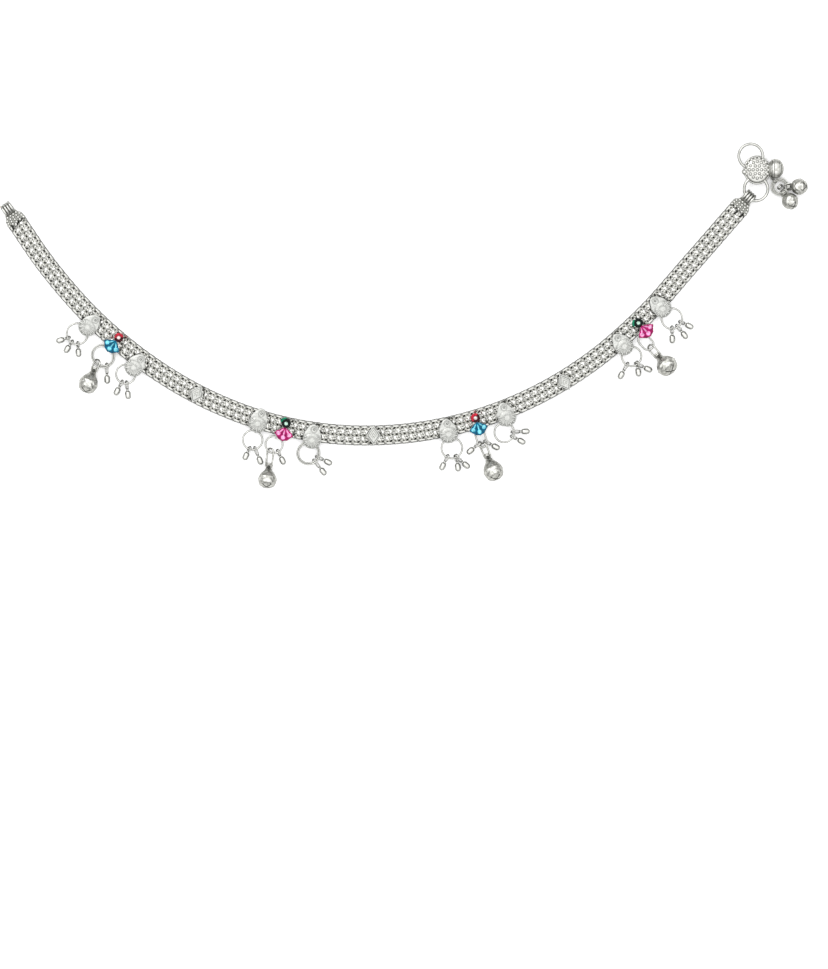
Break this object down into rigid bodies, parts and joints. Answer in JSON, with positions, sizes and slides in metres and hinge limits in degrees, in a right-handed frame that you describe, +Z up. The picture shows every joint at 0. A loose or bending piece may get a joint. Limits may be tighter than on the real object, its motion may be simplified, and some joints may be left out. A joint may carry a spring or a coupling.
{
  "type": "charm anklet",
  "caption": "Open silver chain anklet lying flat in an arc, with soldered plates, enamel charms, jump rings, small drops and bells along its outer edge and a hook clasp at one end.",
  "frame": {"origin": "middle of the underside of the bounding box, on the surface that the anklet lies on", "axes": "+X from the plain end to the end with the hook, +Y from the charms to the open side of the arc, +Z up"},
  "size_m": [0.2184, 0.0938, 0.0055],
  "materials": {
    "silver": "bright drawn silver wire and sheet, lightly tarnished",
    "frosted_silver": "stamped silver, whitened by pickling",
    "blue_enamel": "glossy glass enamel with a red head, on a silver tray",
    "pink_enamel": "glossy glass enamel with a green head, on a silver tray"
  },
  "bodies": {
    "root": {"woven_band": "silver", "shell_plate_1a": "frosted_silver", "shell_plate_1b": "frosted_silver", "shell_plate_2a": "frosted_silver", "shell_plate_2b": "frosted_silver", "shell_plate_3a": "frosted_silver", "shell_plate_3b": "frosted_silver", "shell_plate_4a": "frosted_silver", "shell_plate_4b": "frosted_silver", "kite_plate_1": "frosted_silver", "kite_plate_2": "frosted_silver", "kite_plate_3": "frosted_silver", "enamel_charm_1": "blue_enamel", "enamel_charm_2": "pink_enamel", "enamel_charm_3": "blue_enamel", "enamel_charm_4": "pink_enamel", "jump_ring_1a": "silver", "drop_1a_1": "silver", "drop_1a_2": "silver", "drop_1a_3": "silver", "jump_ring_1b": "silver", "drop_1b_1": "silver", "drop_1b_2": "silver", "jump_ring_2a": "silver", "drop_2a_1": "silver", "drop_2a_2": "silver", "jump_ring_2b": "silver", "drop_2b_1": "silver", "drop_2b_2": "silver", "jump_ring_3a": "silver", "drop_3a_1": "silver", "drop_3a_2": "silver", "jump_ring_3b": "silver", "drop_3b_1": "silver", "drop_3b_2": "silver", "jump_ring_4a": "silver", "drop_4a_1": "silver", "drop_4a_2": "silver", "jump_ring_4b": "silver", "drop_4b_1": "silver", "drop_4b_2": "silver", "drop_4b_3": "silver", "jump_ring_1c": "silver", "drop_1c_1": "silver", "bell_1": "silver", "jump_ring_2c": "silver", "drop_2c_1": "silver", "bell_2": "silver", "jump_ring_3c": "silver", "drop_3c_1": "silver", "drop_3c_2": "silver", "bell_3": "silver", "jump_ring_4c": "silver", "bell_4": "silver", "end_cap_left": "silver", "end_cap_right": "silver", "clasp_hook": "silver", "clasp_ring": "silver", "clasp_bell_1": "silver", "clasp_bell_2": "silver"}
  },
  "joints": []
}
